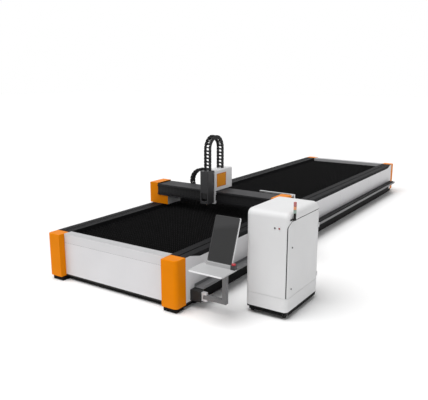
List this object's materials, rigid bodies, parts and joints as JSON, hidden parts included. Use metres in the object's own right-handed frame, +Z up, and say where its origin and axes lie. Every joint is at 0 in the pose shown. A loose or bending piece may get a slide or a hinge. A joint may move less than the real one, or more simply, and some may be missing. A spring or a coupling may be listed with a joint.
{
  "type": "fibre laser cutting machine",
  "caption": "Long open flat-bed laser cutter with a travelling gantry, cutting head, serrated support slats, cable chains, swing-arm console and a wheeled supply cabinet.",
  "frame": {"origin": "middle of the bed on the floor, on the underside of the bed's centre foot", "axes": "+X across the bed towards the console and the cabinet, +Y along the bed away from the console end, +Z up"},
  "size_m": [5.004, 12.715, 2.7],
  "materials": {
    "frame_grey": "matt dark paint",
    "base_black": "matt black paint",
    "panel_white": "satin light paint",
    "trim_grey": "satin grey paint",
    "orange_paint": "satin orange paint",
    "cover_dark": "matt dark grey paint",
    "rail_steel": "ground steel",
    "slat_steel": "scaled mild steel",
    "zinc_sheet": "zinc-coated sheet",
    "chain_black": "moulded black plastic",
    "motor_black": "black coated housing",
    "head_silver": "anodised aluminium",
    "nozzle_copper": "bare copper",
    "arm_grey": "satin mid grey paint",
    "screen_dark": "dark display panel",
    "stop_red": "moulded red plastic",
    "cabinet_white": "textured white paint",
    "internals_grey": "plain sheet casings",
    "lamp_clear": "translucent coloured plastic",
    "lock_chrome": "plated",
    "button_black": "moulded plastic",
    "caster_steel": "pressed steel",
    "caster_rubber": "solid tread"
  },
  "bodies": {
    "machine": {"bed_frame": "frame_grey", "base_frame": "base_black", "bed_panels": "panel_white", "end_trims": "trim_grey", "corner_covers": "orange_paint", "rail_covers": "cover_dark", "y_rails": "rail_steel", "cutting_slats": "slat_steel", "slat_bearers": "frame_grey", "chain_trough": "zinc_sheet", "y_chain_lower": "chain_black", "console_bracket": "base_black", "cabinet_shell": "cabinet_white", "cabinet_base": "base_black", "cabinet_internals": "internals_grey", "tower_stand": "base_black", "tower_lamps": "lamp_clear"},
    "y_chain_turn": {"y_chain_bend": "chain_black"},
    "gantry": {"gantry_beam": "cover_dark", "gantry_feet": "trim_grey", "gantry_caps": "orange_paint", "y_runners": "rail_steel", "y_motors": "motor_black", "x_guides": "rail_steel", "chain_supports": "zinc_sheet", "x_chain_lower": "chain_black", "y_chain_upper": "chain_black"},
    "y_drive_left": {"y_pinion_left": "rail_steel"},
    "y_drive_right": {"y_pinion_right": "rail_steel"},
    "x_chain_turn": {"x_chain_bend": "chain_black"},
    "carriage": {"carriage_plate": "trim_grey", "carriage_cover": "panel_white", "cover_inlay": "orange_paint", "carriage_motors": "motor_black", "z_chain_rear": "chain_black", "x_chain_upper": "chain_black"},
    "x_drive": {"x_pinion": "rail_steel"},
    "z_chain_turn": {"z_chain_arch": "chain_black"},
    "z_drive": {"z_screw": "rail_steel"},
    "head": {"head_housing": "cover_dark", "cutting_head": "head_silver", "nozzle": "nozzle_copper", "z_chain_front": "chain_black"},
    "console": {"console_arm": "arm_grey", "console_desk": "panel_white", "console_screen": "screen_dark"},
    "estop": {"estop_button": "stop_red"},
    "side_door": {"cabinet_side_door": "cabinet_white"},
    "lock_lower": {"door_lock_lower": "lock_chrome"},
    "lock_upper": {"door_lock_upper": "lock_chrome"},
    "button_a": {"cabinet_button_a": "button_black"},
    "button_b": {"cabinet_button_b": "button_black"},
    "fork_front_left": {"caster_fork_front_left": "caster_steel"},
    "wheel_front_left": {"caster_wheel_front_left": "caster_rubber"},
    "fork_front_right": {"caster_fork_front_right": "caster_steel"},
    "wheel_front_right": {"caster_wheel_front_right": "caster_rubber"},
    "fork_rear_left": {"caster_fork_rear_left": "caster_steel"},
    "wheel_rear_left": {"caster_wheel_rear_left": "caster_rubber"},
    "fork_rear_right": {"caster_fork_rear_right": "caster_steel"},
    "wheel_rear_right": {"caster_wheel_rear_right": "caster_rubber"}
  },
  "joints": [
    {"name": "gantry_travel", "type": "slide", "parent": "machine", "child": "gantry", "axis": [0, 1, 0], "range_m": [-2.65, 8.5], "deforming": ["y_chain_lower", "y_chain_upper"]},
    {"name": "y_chain_travel", "type": "slide", "parent": "machine", "child": "y_chain_turn", "axis": [0, 1, 0], "range_m": [-1.325, 4.25]},
    {"name": "y_pinion_left_spin", "type": "hinge", "parent": "gantry", "child": "y_drive_left", "pos_m": [-1.437, -2.813, 0.92], "axis": [0, 0, 1], "range_deg": [-3806, 12186]},
    {"name": "y_pinion_right_spin", "type": "hinge", "parent": "gantry", "child": "y_drive_right", "pos_m": [1.437, -2.813, 0.92], "axis": [0, 0, 1], "range_deg": [-12186, 3806]},
    {"name": "carriage_travel", "type": "slide", "parent": "gantry", "child": "carriage", "axis": [1, 0, 0], "range_m": [-1.39, 1.11], "deforming": ["x_chain_lower", "x_chain_upper"]},
    {"name": "x_chain_travel", "type": "slide", "parent": "gantry", "child": "x_chain_turn", "axis": [1, 0, 0], "range_m": [-0.695, 0.555]},
    {"name": "x_pinion_spin", "type": "hinge", "parent": "carriage", "child": "x_drive", "pos_m": [0.115, -2.503, 1.4], "axis": [0, 0, 1], "range_deg": [-2130, 2665]},
    {"name": "head_lift", "type": "slide", "parent": "carriage", "child": "head", "axis": [0, 0, 1], "range_m": [-0.23, 0], "deforming": ["z_chain_front", "z_chain_rear"]},
    {"name": "z_chain_travel", "type": "slide", "parent": "carriage", "child": "z_chain_turn", "axis": [0, 0, 1], "range_m": [-0.115, 0]},
    {"name": "z_screw_spin", "type": "hinge", "parent": "carriage", "child": "z_drive", "pos_m": [0.1425, -3.158, 1.4], "axis": [0, 0, 1], "range_deg": [-2081, 10]},
    {"name": "console_swing", "type": "hinge", "parent": "machine", "child": "console", "pos_m": [1.895, -5.87, 0.245], "axis": [0, 0, 1], "range_deg": [-30, 0]},
    {"name": "estop_press", "type": "slide", "parent": "console", "child": "estop", "axis": [0, 0, -1], "range_m": [0, 0.006], "stiffness_N_per_m": 2500},
    {"name": "side_door_swing", "type": "hinge", "parent": "machine", "child": "side_door", "pos_m": [3.275, -4.308, 0.9], "axis": [0, 0, 1], "range_deg": [0, 110]},
    {"name": "lock_lower_turn", "type": "hinge", "parent": "side_door", "child": "lock_lower", "pos_m": [3.267, -5.37, 0.529], "axis": [1, 0, 0], "range_deg": [0, 90]},
    {"name": "lock_upper_turn", "type": "hinge", "parent": "side_door", "child": "lock_upper", "pos_m": [3.267, -5.37, 1.249], "axis": [1, 0, 0], "range_deg": [0, 90]},
    {"name": "button_a_press", "type": "slide", "parent": "machine", "child": "button_a", "axis": [0, 1, 0], "range_m": [0, 0.004], "stiffness_N_per_m": 1500},
    {"name": "button_b_press", "type": "slide", "parent": "machine", "child": "button_b", "axis": [0, 1, 0], "range_m": [0, 0.004], "stiffness_N_per_m": 1500},
    {"name": "caster_swivel_front_left", "type": "hinge", "parent": "machine", "child": "fork_front_left", "pos_m": [2.566, -5.426, 0.09], "axis": [0, 0, 1], "continuous": true},
    {"name": "caster_roll_front_left", "type": "hinge", "parent": "fork_front_left", "child": "wheel_front_left", "pos_m": [2.566, -5.4, 0.045], "axis": [1, 0, 0], "continuous": true},
    {"name": "caster_swivel_front_right", "type": "hinge", "parent": "machine", "child": "fork_front_right", "pos_m": [3.177, -5.426, 0.09], "axis": [0, 0, 1], "continuous": true},
    {"name": "caster_roll_front_right", "type": "hinge", "parent": "fork_front_right", "child": "wheel_front_right", "pos_m": [3.177, -5.4, 0.045], "axis": [1, 0, 0], "continuous": true},
    {"name": "caster_swivel_rear_left", "type": "hinge", "parent": "machine", "child": "fork_rear_left", "pos_m": [2.566, -4.336, 0.09], "axis": [0, 0, 1], "continuous": true},
    {"name": "caster_roll_rear_left", "type": "hinge", "parent": "fork_rear_left", "child": "wheel_rear_left", "pos_m": [2.566, -4.31, 0.045], "axis": [1, 0, 0], "continuous": true},
    {"name": "caster_swivel_rear_right", "type": "hinge", "parent": "machine", "child": "fork_rear_right", "pos_m": [3.177, -4.336, 0.09], "axis": [0, 0, 1], "continuous": true},
    {"name": "caster_roll_rear_right", "type": "hinge", "parent": "fork_rear_right", "child": "wheel_rear_right", "pos_m": [3.177, -4.31, 0.045], "axis": [1, 0, 0], "continuous": true}
  ],
  "couplings": [
    {"joint": "y_chain_travel", "follows": "gantry_travel", "ratio": 0.5},
    {"joint": "y_pinion_left_spin", "follows": "gantry_travel", "rad_per_m": 25},
    {"joint": "y_pinion_right_spin", "follows": "gantry_travel", "rad_per_m": -25},
    {"joint": "x_chain_travel", "follows": "carriage_travel", "ratio": 0.5},
    {"joint": "x_pinion_spin", "follows": "carriage_travel", "rad_per_m": -33.333},
    {"joint": "z_chain_travel", "follows": "head_lift", "ratio": 0.5},
    {"joint": "z_screw_spin", "follows": "head_lift", "rad_per_m": 157.08}
  ]
}
